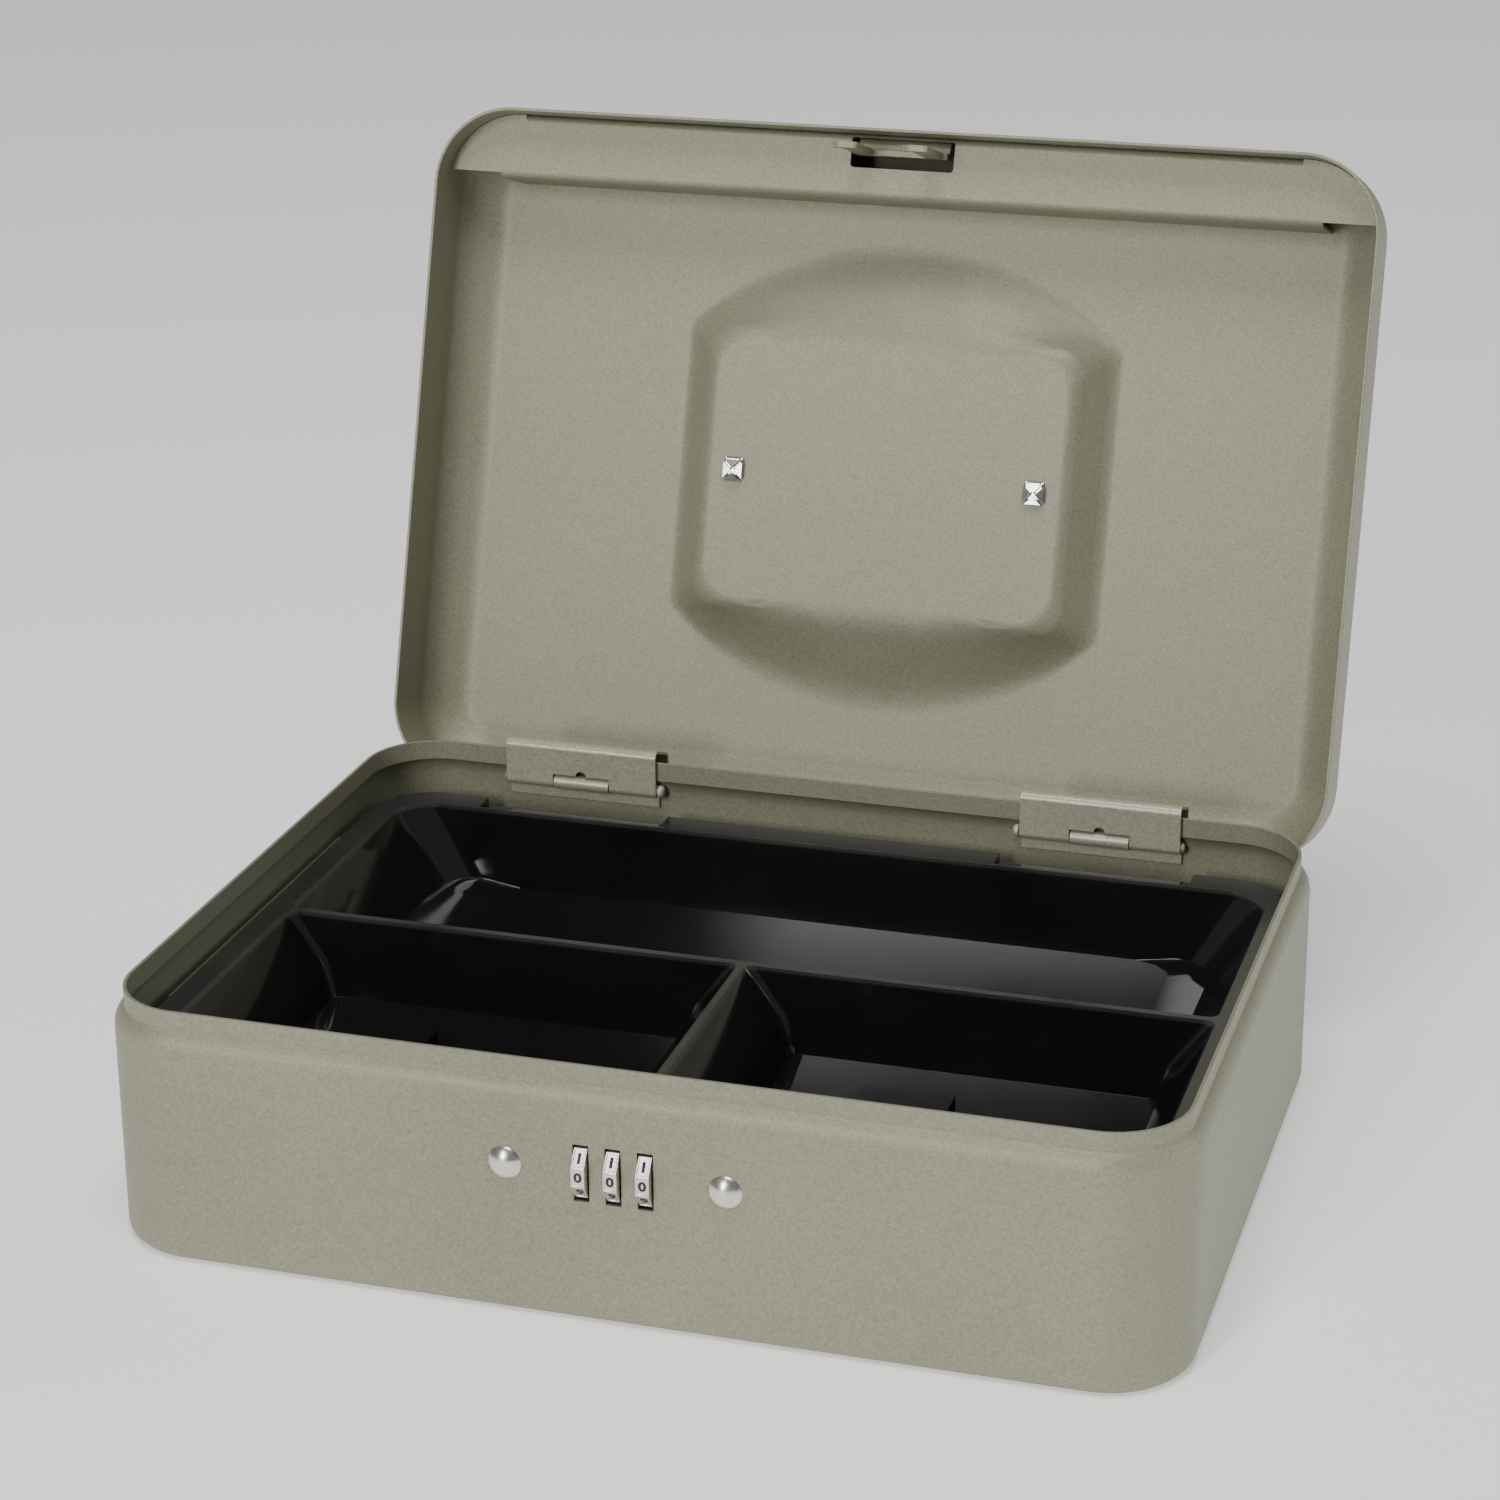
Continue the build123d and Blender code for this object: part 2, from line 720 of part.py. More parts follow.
with BuildPart() as number_wheel_right:
    add(number_wheel(dial_places[2]))

number_wheel_right.part.label = "number_wheel_right"
export_step(number_wheel_right.part, "parts/number_wheel_right.step")

with BuildPart() as cam_left:
    add(cam(dial_places[0]))

cam_left.part.label = "cam_left"
export_step(cam_left.part, "parts/cam_left.step")

with BuildPart() as cam_middle:
    add(cam(dial_places[1]))

cam_middle.part.label = "cam_middle"
export_step(cam_middle.part, "parts/cam_middle.step")

with BuildPart() as cam_right:
    add(cam(dial_places[2]))

cam_right.part.label = "cam_right"
export_step(cam_right.part, "parts/cam_right.step")

# Spindle of the three dials, held in the lock case's side walls
with BuildPart() as lock_spindle:
    with BuildSketch(Plane.YZ.offset(-lock_box_half)):
        with Locations((dial_y, dial_height)):
            Circle(spindle_radius)
    extrude(amount=2 * lock_box_half)
    for side in (Plane.YZ.offset(lock_box_half), Plane.YZ.offset(-lock_box_half - spindle_end)):
        with BuildSketch(side):
            with Locations((dial_y, dial_height)):
                Circle(spindle_radius + 0.6)
        extrude(amount=spindle_end)

lock_spindle.part.label = "lock_spindle"
export_step(lock_spindle.part, "parts/lock_spindle.step")

# Lock plate behind the front wall
with BuildPart() as lock_plate:
    with BuildSketch(Plane.XZ.offset(-plate_back)):
        with Locations((0, lock_bottom)):
            Rectangle(2 * lock_half_width, lock_top - lock_bottom, align=(Align.CENTER, Align.MIN))
        # One opening for the dials and their cams
        with Locations((dial_places[0] - dial_width / 2 - dial_side_gap, dial_height)):
            Rectangle(
                2 * dial_pitch + dial_width / 2 + dial_side_gap + cam_start + cam_sheet + cam_gap,
                2 * dial_window_half,
                align=(Align.MIN, Align.CENTER),
                mode=Mode.SUBTRACT,
            )
        with Locations((-rivet_spread / 2, rivet_height), (rivet_spread / 2, rivet_height)):
            Circle(rivet_radius, mode=Mode.SUBTRACT)
    extrude(amount=lock_plate_sheet)

lock_plate.part.label = "lock_plate"
export_step(lock_plate.part, "parts/lock_plate.step")

# Lock case: a box for the dials under a long channel for the slide, with ears
with BuildPart() as lock_case:
    with BuildSketch(Plane.YZ.offset(-lock_box_half)):
        with Locations((plate_back, lock_bottom)):
            Rectangle(
                lock_back + lock_sheet - plate_back,
                box_top - lock_bottom,
                align=(Align.MIN, Align.MIN),
            )
    extrude(amount=2 * lock_box_half)
    with BuildSketch(Plane.YZ.offset(channel_left - lock_sheet)):
        with Locations((plate_back, channel_floor - lock_sheet)):
            Rectangle(
                channel_back + lock_sheet - plate_back,
                lock_top - channel_floor + lock_sheet,
                align=(Align.MIN, Align.MIN),
            )
    extrude(amount=channel_right - channel_left + 2 * lock_sheet)
    with BuildSketch(Plane.XZ.offset(-plate_back)):
        with Locations((0, rivet_height)):
            Rectangle(2 * lock_half_width, ear_height)
    extrude(amount=-lock_sheet)
    with BuildSketch(Plane.YZ.offset(-lock_box_half + lock_sheet)):
        with Locations((plate_back, lock_bottom + lock_sheet)):
            Rectangle(
                lock_back - plate_back,
                box_top - lock_bottom - 2 * lock_sheet,
                align=(Align.MIN, Align.MIN),
            )
        with Locations((plate_back, dial_height)):
            Rectangle(
                channel_back - plate_back,
                channel_floor + moving_gap - dial_height,
                align=(Align.MIN, Align.MIN),
            )
    extrude(amount=2 * lock_box_half - 2 * lock_sheet, mode=Mode.SUBTRACT)
    with BuildSketch(Plane.YZ.offset(channel_left)):
        with Locations((plate_back, channel_floor)):
            Rectangle(
                channel_back - plate_back,
                lock_top - lock_sheet - channel_floor,
                align=(Align.MIN, Align.MIN),
            )
    extrude(amount=channel_right - channel_left, mode=Mode.SUBTRACT)
    with BuildSketch(Plane.XY.offset(lock_top)):
        for right, left in zip(hook_rights, hook_lefts):
            with Locations(((left + right) / 2, -striker_y)):
                Rectangle(
                    right - left + 2 * gate_play + moving_gap,
                    striker_sheet + 2 * gate_play + moving_gap,
                )
    extrude(amount=-2 * lock_sheet, mode=Mode.SUBTRACT)
    with BuildSketch(Plane.XZ.offset(-plate_back)):
        with Locations((-rivet_spread / 2, rivet_height), (rivet_spread / 2, rivet_height)):
            Circle(rivet_radius)
    extrude(amount=-2 * lock_sheet, mode=Mode.SUBTRACT)
    with BuildSketch(Plane.YZ.offset(-2 * lock_box_half)):
        with Locations((dial_y, dial_height)):
            Circle(spindle_radius)
    extrude(amount=4 * lock_box_half, mode=Mode.SUBTRACT)

lock_case.part.label = "lock_case"
export_step(lock_case.part, "parts/lock_case.step")

# Two domed rivets through wall, plate and case ears
with BuildPart() as lock_rivets:
    tail_y = plate_back + lock_sheet
    rivet_reach, rivet_drop = dome_mid(rivet_head_radius, rivet_head_height)
    for x in (-rivet_spread / 2, rivet_spread / 2):
        with BuildSketch(Plane.XY.offset(rivet_height)):
            with BuildLine():
                ThreePointArc(
                    (x, -half_depth - rivet_head_height),
                    (x + rivet_reach, -half_depth - rivet_head_height + rivet_drop),
                    (x + rivet_head_radius, -half_depth),
                )
                Polyline(
                    (x + rivet_head_radius, -half_depth),
                    (x + rivet_radius, -half_depth),
                    (x + rivet_radius, tail_y),
                    (x + rivet_tail_radius, tail_y),
                    (x + rivet_tail_radius, tail_y + rivet_tail_height),
                    (x, tail_y + rivet_tail_height),
                    (x, -half_depth - rivet_head_height),
                )
            make_face()
        revolve(axis=Axis((x, 0, rivet_height), (0, 1, 0)))

lock_rivets.part.label = "lock_rivets"
export_step(lock_rivets.part, "parts/lock_rivets.step")

# Headed studs that carry and guide the slide
with BuildPart() as guide_studs:
    with BuildSketch(Plane.XY.offset(channel_floor)):
        with Locations((-stud_spread / 2, slide_y), (stud_spread / 2, slide_y)):
            Circle(stud_head_radius)
    extrude(amount=slide_bottom - moving_gap - channel_floor)
    with BuildSketch(Plane.XY.offset(channel_floor)):
        with Locations((-stud_spread / 2, slide_y), (stud_spread / 2, slide_y)):
            Circle(stud_radius)
    extrude(amount=slide_top + moving_gap - channel_floor)
    with BuildSketch(Plane.XY.offset(slide_top + moving_gap)):
        with Locations((-stud_spread / 2, slide_y), (stud_spread / 2, slide_y)):
            Circle(stud_head_radius)
    extrude(amount=stud_head_height)

guide_studs.part.label = "guide_studs"
export_step(guide_studs.part, "parts/guide_studs.step")

# Latch slide: a plate with a window for each hook and a finger for each gate
with BuildPart() as latch_slide:
    with BuildSketch(Plane.XY.offset(slide_bottom)):
        with Locations((0, slide_y)):
            Rectangle(2 * slide_half, slide_back - slide_front)
        for right in hook_rights:
            with Locations((right - hook_width - gate_play, -striker_y)):
                Rectangle(
                    hook_width + 2 * gate_play + slide_travel,
                    striker_sheet + 2 * gate_play,
                    align=(Align.MIN, Align.CENTER),
                    mode=Mode.SUBTRACT,
                )
        for stud in (-stud_spread / 2, stud_spread / 2):
            with Locations((stud + slide_travel / 2, slide_y)):
                SlotOverall(
                    2 * (stud_radius + moving_gap) + slide_travel,
                    2 * (stud_radius + moving_gap),
                    mode=Mode.SUBTRACT,
                )
    extrude(amount=slide_sheet)
    # Each finger hangs clear of the hooks, then widens under them over its cam
    for x in dial_places:
        with BuildSketch(Plane.YZ.offset(x + cam_start + cam_sheet + cam_gap)):
            with Locations((slide_front, slide_bottom)):
                Rectangle(
                    finger_depth,
                    slide_bottom - dial_height - finger_reach,
                    align=(Align.MIN, Align.MAX),
                )
            with Locations((slide_front, dial_height + finger_reach)):
                Rectangle(
                    dial_y - slide_front + finger_depth / 2,
                    dial_radius - finger_reach,
                    align=(Align.MIN, Align.MIN),
                )
        extrude(amount=finger_sheet)

latch_slide.part.label = "latch_slide"
export_step(latch_slide.part, "parts/latch_slide.step")

# Bent leaf spring between the channel's end and the slide
with BuildPart() as latch_spring:
    swing = spring_swing / 2
    run = (spring_room - moving_gap - spring_sheet) / spring_runs
    start = channel_left + spring_sheet / 2
    corners = [
        (start + step * run, slide_y + (swing if step % 2 else -swing))
        for step in range(spring_runs + 1)
    ]
    with BuildSketch(Plane.XY.offset((slide_bottom + slide_top) / 2 - spring_width / 2)):
        with BuildLine():
            FilletPolyline(*corners, radius=spring_bend)
        trace(line_width=spring_sheet)
    extrude(amount=spring_width)

latch_spring.part.label = "latch_spring"
export_step(latch_spring.part, "parts/latch_spring.step")

# Detent leaf behind the dials: one tongue bows towards each
with BuildPart() as detent_spring:
    leaf_y = lock_back - detent_sheet / 2
    foot_z = dial_height - detent_height / 2
    with BuildSketch(Plane.XZ.offset(-lock_back)):
        with Locations((dial_middle, foot_z)):
            Rectangle(
                2 * dial_pitch + dial_width + 2, detent_foot, align=(Align.CENTER, Align.MAX)
            )
    extrude(amount=detent_sheet)
    for x in dial_places:
        with BuildSketch(Plane.YZ.offset(x - 0.35 * dial_width)):
            with BuildLine():
                Line((leaf_y, foot_z - detent_foot), (leaf_y, foot_z))
                ThreePointArc(
                    (leaf_y, foot_z),
                    (leaf_y - detent_bow, dial_height),
                    (leaf_y, foot_z + detent_height),
                )
            trace(line_width=detent_sheet)
        extrude(amount=0.7 * dial_width)

detent_spring.part.label = "detent_spring"
export_step(detent_spring.part, "parts/detent_spring.step")


def pocket_form(levels, grow_end=0, grow_side=0):
    """Tapering pocket of the tray, down to its floor; one that is grown has cut corners."""
    shape_corner = chamfer if grow_end else fillet
    cut_share = 0.6 if grow_end else 1
    with BuildPart() as form:
        for z, x0, x1, y0, y1, front_radius, back_radius in levels:
            with BuildSketch(Plane.XY.offset(z)) as ring:
                with Locations(((x0 + x1) / 2, (y0 + y1) / 2)):
                    Rectangle(x1 - x0 + 2 * grow_end, y1 - y0 + 2 * grow_side)
                shape_corner(ring.vertices().group_by(Axis.Y)[0], cut_share * front_radius)
                shape_corner(ring.vertices().group_by(Axis.Y)[-1], cut_share * back_radius)
        loft(ruled=True)
    return form.part


def front_levels(x0, x1, drop):
    """Mouth, ledge and floor of a front pocket between two X places."""
    y0 = pocket_front
    y1 = cross_divider_y - divider / 2
    high = (tray_top - ledge_height) * tan(radians(end_slope_high))
    low = high + (ledge_height - tray_floor) * tan(radians(end_slope_low))
    rows = []
    for z, run in ((tray_top, 0), (ledge_height, high), (tray_floor, low)):
        side = (tray_top - z) * tan(radians(side_draft))
        corner = pocket_corner
        rows.append((z - drop, x0 + run, x1 - run, y0 + side, y1 - side, corner, corner))
    return rows


def rear_levels(drop):
    """Mouth, ledge and floor of the long rear pocket."""
    y0 = cross_divider_y + divider / 2
    y1 = pocket_back
    ledge = tray_floor + rear_ledge_rise
    high = (tray_top - ledge) * tan(radians(rear_slope))
    rows = []
    for z, run in ((tray_top, 0), (ledge, high), (tray_floor, high + rear_ledge_run)):
        side = (tray_top - z) * tan(radians(side_draft))
        end = pocket_half_length - run
        rows.append((z - drop, -end, end, y0 + side, y1 - side, pocket_corner, rear_corner))
    return rows


# Coin tray: flange, three pockets and two lowered places under the hinges
grow_end = 0.5 * tray_sheet
grow_side = 0.9 * tray_sheet
with BuildPart() as coin_tray:
    with BuildSketch(Plane.XY.offset(tray_under)):
        with Locations((0, (tray_front + tray_back) / 2)):
            RectangleRounded(2 * tray_half_length, tray_back - tray_front, tray_corner)
    extrude(amount=tray_sheet)
    add(pocket_form(front_levels(*left_span, tray_sheet), grow_end, grow_side))
    add(pocket_form(front_levels(*right_span, tray_sheet), grow_end, grow_side))
    add(pocket_form(rear_levels(tray_sheet), grow_end, grow_side))
    low_width = leaf_width + 2 * hinge_pocket_margin
    with BuildSketch(Plane.XY.offset(tray_under)):
        for x in (-leaf_middle, leaf_middle):
            with Locations((x, tray_back)):
                Rectangle(
                    low_width + 2 * tray_sheet,
                    tray_back - hinge_pocket_front + tray_sheet,
                    align=(Align.CENTER, Align.MAX),
                )
    extrude(amount=-hinge_pocket_sink)
    with BuildSketch(Plane.XY.offset(tray_top)):
        for x in (-leaf_middle, leaf_middle):
            with Locations((x, tray_back + 1)):
                Rectangle(
                    low_width,
                    tray_back + 1 - hinge_pocket_front,
                    align=(Align.CENTER, Align.MAX),
                )
    extrude(amount=-hinge_pocket_sink, mode=Mode.SUBTRACT)
    add(pocket_form(front_levels(*left_span, 0)), mode=Mode.SUBTRACT)
    add(pocket_form(front_levels(*right_span, 0)), mode=Mode.SUBTRACT)
    add(pocket_form(rear_levels(0)), mode=Mode.SUBTRACT)
    # Raised pads on the floors of the front pockets, hollow underneath
    with BuildSketch(Plane.XY.offset(tray_floor - tray_sheet)):
        for x in pad_places:
            with Locations((x, pad_back)):
                Rectangle(pad_length, pad_width, align=(Align.CENTER, Align.MAX))
    extrude(amount=pad_height + tray_sheet)
    with BuildSketch(Plane.XY.offset(tray_floor - tray_sheet)):
        for x in pad_places:
            with Locations((x, pad_back - tray_sheet)):
                Rectangle(
                    pad_length - 2 * tray_sheet,
                    pad_width - 2 * tray_sheet,
                    align=(Align.CENTER, Align.MAX),
                )
    extrude(amount=pad_height, mode=Mode.SUBTRACT)

coin_tray.part.label = "coin_tray"
export_step(coin_tray.part, "parts/coin_tray.step")

# Right tray support: an angle strip on the side wall under the tray's flange
with BuildPart() as tray_support_right:
    support_top = tray_under - tray_rest_gap
    tray_side = pocket_half_length + grow_end + support_clearance
    with BuildSketch(Plane.XZ.offset(-support_length / 2)):
        with BuildLine():
            FilletPolyline(
                (half_length - sheet - support_sheet / 2, support_top - support_leg),
                (half_length - sheet - support_sheet / 2, support_top - support_sheet / 2),
                (tray_side, support_top - support_sheet / 2),
                radius=support_sheet,
            )
        trace(line_width=support_sheet)
    extrude(amount=support_length)

tray_support_right.part.label = "tray_support_right"
export_step(tray_support_right.part, "parts/tray_support_right.step")

with BuildPart() as tray_support_left:
    mirror(tray_support_right.part, about=Plane.YZ)

tray_support_left.part.label = "tray_support_left"
export_step(tray_support_left.part, "parts/tray_support_left.step")
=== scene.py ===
from math import cos, pi, radians, sin

import bmesh
import bpy
from mathutils import Matrix, Vector


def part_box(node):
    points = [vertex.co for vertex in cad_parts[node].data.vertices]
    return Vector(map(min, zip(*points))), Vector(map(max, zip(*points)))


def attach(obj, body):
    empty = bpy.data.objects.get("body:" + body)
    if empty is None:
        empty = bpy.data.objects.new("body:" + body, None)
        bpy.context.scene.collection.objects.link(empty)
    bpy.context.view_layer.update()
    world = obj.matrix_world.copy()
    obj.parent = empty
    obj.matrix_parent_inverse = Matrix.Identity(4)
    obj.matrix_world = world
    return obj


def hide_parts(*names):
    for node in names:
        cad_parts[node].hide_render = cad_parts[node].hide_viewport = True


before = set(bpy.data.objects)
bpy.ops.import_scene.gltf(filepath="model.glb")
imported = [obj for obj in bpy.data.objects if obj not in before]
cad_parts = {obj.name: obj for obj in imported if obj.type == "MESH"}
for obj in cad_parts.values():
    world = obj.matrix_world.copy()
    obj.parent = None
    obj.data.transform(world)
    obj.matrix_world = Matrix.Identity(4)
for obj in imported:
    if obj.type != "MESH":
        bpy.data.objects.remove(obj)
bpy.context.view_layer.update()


# ---------------------------------------------------------------- base shell
# The base is drawn from sheet steel, with a rounded shoulder and a drawn-in
# neck for the lid to close over. It is coated all over in a pewter-grey paint
# with a fine grain, baked on before the lock and the hinges go in.

weld_distance = 2e-6
flat_angle = radians(0.3)
crease_angle = radians(30)
smooth_angle = radians(52)


def dressed(node, name, material, edge, steps=2, reshape=None):
    """A CAD solid as one merged piece of the scene, with its edges eased."""
    shape = bmesh.new()
    shape.from_mesh(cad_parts[node].data)
    bmesh.ops.remove_doubles(shape, verts=shape.verts, dist=weld_distance)
    bmesh.ops.dissolve_limit(
        shape, angle_limit=flat_angle, verts=shape.verts, edges=shape.edges
    )
    if reshape:
        reshape(shape)
    sharp = [
        line for line in shape.edges
        if len(line.link_faces) == 2 and line.calc_face_angle() > crease_angle
    ]
    bmesh.ops.bevel(
        shape, geom=sharp, offset=edge, offset_type="OFFSET", segments=steps,
        profile=0.5, affect="EDGES", clamp_overlap=True, material=-1,
    )
    mesh = bpy.data.meshes.new(name)
    shape.to_mesh(mesh)
    shape.free()
    stale = mesh.attributes.get("custom_normal")
    if stale:
        mesh.attributes.remove(stale)
    mesh.shade_smooth()
    mesh.set_sharp_from_angle(angle=smooth_angle)
    mesh.materials.clear()
    mesh.materials.append(material)
    piece = bpy.data.objects.new(name, mesh)
    bpy.context.scene.collection.objects.link(piece)
    even = piece.modifiers.new("even_faces", "WEIGHTED_NORMAL")
    even.keep_sharp = True
    return piece


def settle(piece, body, slot, *nodes):
    """Ride on a body and stand for CAD nodes; the slot is not used."""
    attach(piece, body)
    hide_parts(*nodes)


def finish_of(name, **values):
    """A node material: its tree, its shader and a place for values on it."""
    material = bpy.data.materials.new(name)
    material.use_nodes = True
    tree = material.node_tree
    shader = tree.nodes["Principled BSDF"]
    for socket, value in values.items():
        shader.inputs[socket].default_value = value
    return material, tree, shader


def spread(tree, source, low, high):
    """Colour ramp from one colour to another, driven by a mask."""
    ramp = tree.nodes.new("ShaderNodeValToRGB")
    ramp.color_ramp.elements[0].color = (*low, 1)
    ramp.color_ramp.elements[1].color = (*high, 1)
    tree.links.new(source, ramp.inputs["Fac"])
    return ramp


def span(tree, source, low, high):
    """A value from low to high, driven by a mask."""
    step = tree.nodes.new("ShaderNodeMapRange")
    step.inputs["To Min"].default_value = low
    step.inputs["To Max"].default_value = high
    tree.links.new(source, step.inputs["Value"])
    return step.outputs["Result"]


def rough_up(tree, shader, source, strength, distance):
    """Raise the surface by a height, through a Bump node."""
    bump = tree.nodes.new("ShaderNodeBump")
    bump.inputs["Strength"].default_value = strength
    bump.inputs["Distance"].default_value = distance
    tree.links.new(source, bump.inputs["Height"])
    tree.links.new(bump.outputs["Normal"], shader.inputs["Normal"])


speckle_share = 0.75
speckle_height = 0.45
drifts_per_metre = 11.0
grain = bpy.data.node_groups.new("baked_paint_grain", "ShaderNodeTree")
for word in ("Grain Scale", "Peel Scale"):
    grain.interface.new_socket(name=word, in_out="INPUT", socket_type="NodeSocketFloat")
for word in ("Tone", "Height", "Drift"):
    grain.interface.new_socket(name=word, in_out="OUTPUT", socket_type="NodeSocketFloat")
inlet = grain.nodes.new("NodeGroupInput")
outlet = grain.nodes.new("NodeGroupOutput")
place = grain.nodes.new("ShaderNodeTexCoord")
speckle = grain.nodes.new("ShaderNodeTexNoise")
speckle.inputs["Detail"].default_value = 3.0
speckle.inputs["Roughness"].default_value = 0.7
peel = grain.nodes.new("ShaderNodeTexNoise")
peel.inputs["Detail"].default_value = 2.0
drift = grain.nodes.new("ShaderNodeTexNoise")
drift.inputs["Scale"].default_value = drifts_per_metre
drift.inputs["Detail"].default_value = 4.0
for texture in (speckle, peel, drift):
    grain.links.new(place.outputs["Object"], texture.inputs["Vector"])
grain.links.new(inlet.outputs["Grain Scale"], speckle.inputs["Scale"])
grain.links.new(inlet.outputs["Peel Scale"], peel.inputs["Scale"])
blend_tone = grain.nodes.new("ShaderNodeMath")
blend_tone.operation = "MULTIPLY_ADD"
blend_tone.inputs[1].default_value = speckle_share
grain.links.new(speckle.outputs["Fac"], blend_tone.inputs[0])
rest = grain.nodes.new("ShaderNodeMath")
rest.operation = "MULTIPLY"
rest.inputs[1].default_value = 1 - speckle_share
grain.links.new(drift.outputs["Fac"], rest.inputs[0])
grain.links.new(rest.outputs[0], blend_tone.inputs[2])
blend_height = grain.nodes.new("ShaderNodeMath")
blend_height.operation = "MULTIPLY_ADD"
blend_height.inputs[1].default_value = speckle_height
grain.links.new(speckle.outputs["Fac"], blend_height.inputs[0])
grain.links.new(peel.outputs["Fac"], blend_height.inputs[2])
grain.links.new(blend_tone.outputs[0], outlet.inputs["Tone"])
grain.links.new(blend_height.outputs[0], outlet.inputs["Height"])
grain.links.new(drift.outputs["Fac"], outlet.inputs["Drift"])


paint_metallic = 0.22
paint_bump = 0.35
tone_from = 0.36
tone_to = 0.64


def painted(name, dark, light, grain_size, peel_size, depth, roughness):
    """Baked paint: speckled colour, a grain that is felt, and a soft sheen."""
    material, tree, shader = finish_of(name, Metallic=paint_metallic)
    texture = tree.nodes.new("ShaderNodeGroup")
    texture.node_tree = grain
    texture.inputs["Grain Scale"].default_value = 1 / grain_size
    texture.inputs["Peel Scale"].default_value = 1 / peel_size
    ramp = spread(tree, texture.outputs["Tone"], dark, light)
    ramp.color_ramp.elements[0].position = tone_from
    ramp.color_ramp.elements[1].position = tone_to
    tree.links.new(ramp.outputs["Color"], shader.inputs["Base Color"])
    sheen = span(tree, texture.outputs["Drift"], *roughness)
    tree.links.new(sheen, shader.inputs["Roughness"])
    rough_up(tree, shader, texture.outputs["Height"], paint_bump, depth)
    return material


pewter_paint = painted(
    "pewter_paint", dark=(0.212, 0.207, 0.142), light=(0.325, 0.318, 0.226),
    grain_size=0.0006, peel_size=0.0016, depth=0.00009, roughness=(0.44, 0.58),
)

base = dressed("base_shell", "base", pewter_paint, edge=0.00025)
settle(base, "base", "grey_paint", "base_shell")

# ------------------------------------------------------------- tray supports
# Two steel angle strips carry the coin tray by its flange. They are spot
# welded inside the side walls before painting, so they wear the same coat.

for side in ("right", "left"):
    support = dressed(
        f"tray_support_{side}", f"tray_rest_{side}", pewter_paint, edge=0.0002
    )
    settle(support, "base", "grey_paint", f"tray_support_{side}")

# ---------------------------------------------------------------------- lock
# The combination lock sits behind the front wall: a folded steel case on a
# plate, a latch slide on headed studs, three gate cams on a spindle, and the
# springs. The case is painted with the box. The rest is bare steel inside it.

metal_bump = 0.25


def brushed(name, dark, light, line_size, stretch, roughness, depth):
    """Bare metal with fine lines along one direction and a little drift."""
    material, tree, shader = finish_of(name, Metallic=1.0)
    place = tree.nodes.new("ShaderNodeTexCoord")
    turn = tree.nodes.new("ShaderNodeMapping")
    turn.inputs["Scale"].default_value = stretch
    tree.links.new(place.outputs["Object"], turn.inputs["Vector"])
    lines = tree.nodes.new("ShaderNodeTexNoise")
    lines.inputs["Scale"].default_value = 1 / line_size
    lines.inputs["Detail"].default_value = 4.0
    lines.inputs["Roughness"].default_value = 0.6
    tree.links.new(turn.outputs["Vector"], lines.inputs["Vector"])
    ramp = spread(tree, lines.outputs["Fac"], dark, light)
    tree.links.new(ramp.outputs["Color"], shader.inputs["Base Color"])
    sheen = span(tree, lines.outputs["Fac"], *roughness)
    tree.links.new(sheen, shader.inputs["Roughness"])
    rough_up(tree, shader, lines.outputs["Fac"], metal_bump, depth)
    return material


lock_steel = brushed(
    "plain_lock_steel", dark=(0.36, 0.36, 0.35), light=(0.58, 0.58, 0.56),
    line_size=0.0008, stretch=(0.25, 1.0, 1.0), roughness=(0.30, 0.50), depth=0.00002,
)
spring_steel = brushed(
    "tempered_spring_steel", dark=(0.26, 0.27, 0.29), light=(0.46, 0.46, 0.47),
    line_size=0.0006, stretch=(0.4, 1.0, 1.0), roughness=(0.24, 0.40), depth=0.00001,
)
for node in (
    "lock_plate", "latch_slide", "guide_studs", "lock_spindle",
    "cam_left", "cam_middle", "cam_right",
):
    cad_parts[node].data.materials[0] = lock_steel
for node in ("latch_spring", "detent_spring"):
    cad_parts[node].data.materials[0] = spring_steel

case = dressed("lock_case", "lock_cover", pewter_paint, edge=0.0002)
settle(case, "base", "grey_paint", "lock_case")

# --------------------------------------------------------------------- dials
# Three ten-sided number wheels stand through windows in the front wall. Each
# is a zinc casting plated with nickel; the figures are sunk in framed panels
# and filled with black paint. The wheels read 0 at rest, with 1 above.

wheel_nickel = brushed(
    "wheel_nickel", dark=(0.60, 0.58, 0.53), light=(0.86, 0.84, 0.79),
    line_size=0.0005, stretch=(1.0, 1.0, 1.0), roughness=(0.16, 0.42), depth=0.00003,
)
specks_per_metre = 2600
figure_black, tree, shader = finish_of("figure_black", Roughness=0.42)
dust = tree.nodes.new("ShaderNodeTexNoise")
dust.inputs["Scale"].default_value = specks_per_metre
place = tree.nodes.new("ShaderNodeTexCoord")
tree.links.new(place.outputs["Object"], dust.inputs["Vector"])
black_ramp = spread(
    tree, dust.outputs["Fac"], low=(0.006, 0.006, 0.006), high=(0.030, 0.029, 0.026)
)
tree.links.new(black_ramp.outputs["Color"], shader.inputs["Base Color"])

figure_height = 0.00235
figure_width = 0.0019
figure_spread = 1.2
figure_stroke = 0.045
stitch_distance = 1e-7
paint_thickness = 0.00002
panel_sink = 0.0002
wheel_sides = 10
most_points = 10000


def face_order(face):
    """A face's place in its mesh, the same in each run: its three lowest points."""
    first, second, third = sorted(corner.index for corner in face.verts)[:3]
    return (first * most_points + second) * most_points + third


